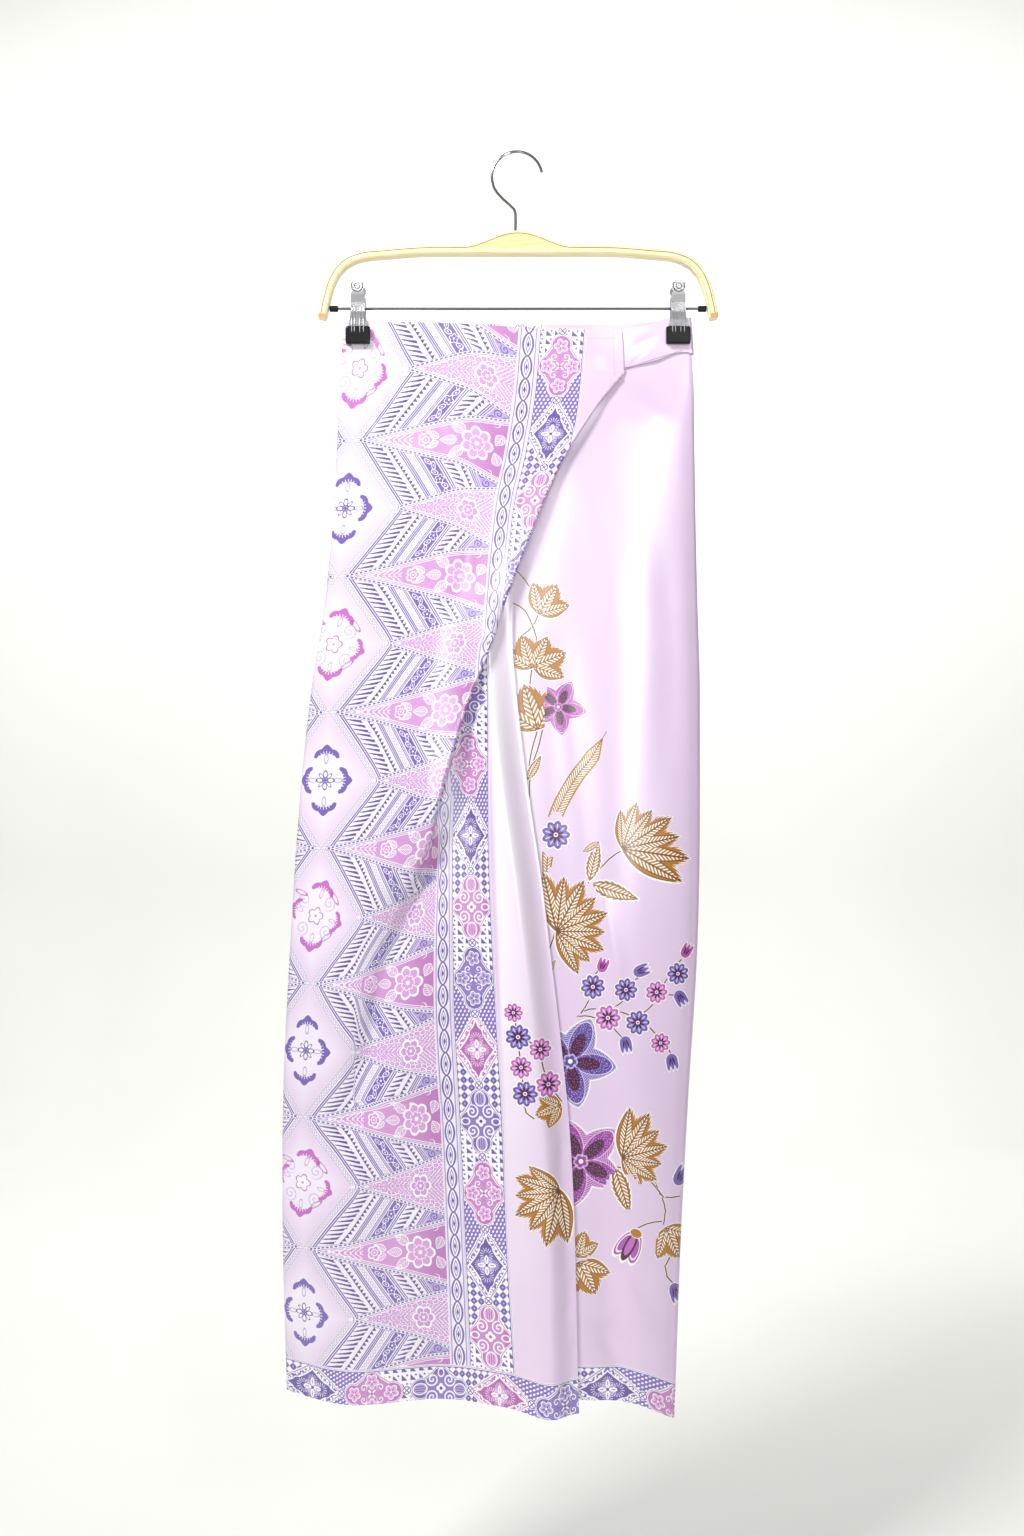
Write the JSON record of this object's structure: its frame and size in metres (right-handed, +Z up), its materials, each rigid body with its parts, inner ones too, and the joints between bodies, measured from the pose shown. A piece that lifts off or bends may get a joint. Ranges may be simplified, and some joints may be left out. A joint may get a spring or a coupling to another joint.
{
  "type": "batik wrap skirt on a wooden clip hanger",
  "caption": "Long wrap skirt of printed lilac batik with a front overlap that falls in a diagonal fold, clipped to a bowed wooden hanger with a wire hook.",
  "frame": {"origin": "inside of the crown of the hanger's hook, where the hanger hangs", "axes": "+Z up, +X to the right seen from the front, -Y towards the front, where the overlap is"},
  "size_m": [0.4165, 0.0797, 1.2087],
  "materials": {
    "batik_print": "printed cotton with a soft sheen",
    "plain_lilac": "plain cotton with a soft sheen",
    "pale_wood": "clear varnish, satin",
    "bright_steel": "bright plated",
    "black_rubber": "smooth, half gloss"
  },
  "bodies": {
    "root": {"outer_panel": "batik_print", "overlap_hem": "plain_lilac", "under_panel": "batik_print", "back_panel": "batik_print", "waist_band": "plain_lilac", "waist_band_back": "plain_lilac", "wood_bar": "pale_wood", "hook_wire": "bright_steel", "clip_rod": "bright_steel", "rod_ferrule_left": "black_rubber", "rod_ferrule_right": "black_rubber", "clip_left_front_plate": "bright_steel", "clip_left_rear_plate": "bright_steel", "clip_left_spring": "bright_steel", "clip_left_front_pad": "black_rubber", "clip_left_rear_pad": "black_rubber", "clip_right_front_plate": "bright_steel", "clip_right_rear_plate": "bright_steel", "clip_right_spring": "bright_steel", "clip_right_front_pad": "black_rubber", "clip_right_rear_pad": "black_rubber"}
  },
  "joints": []
}
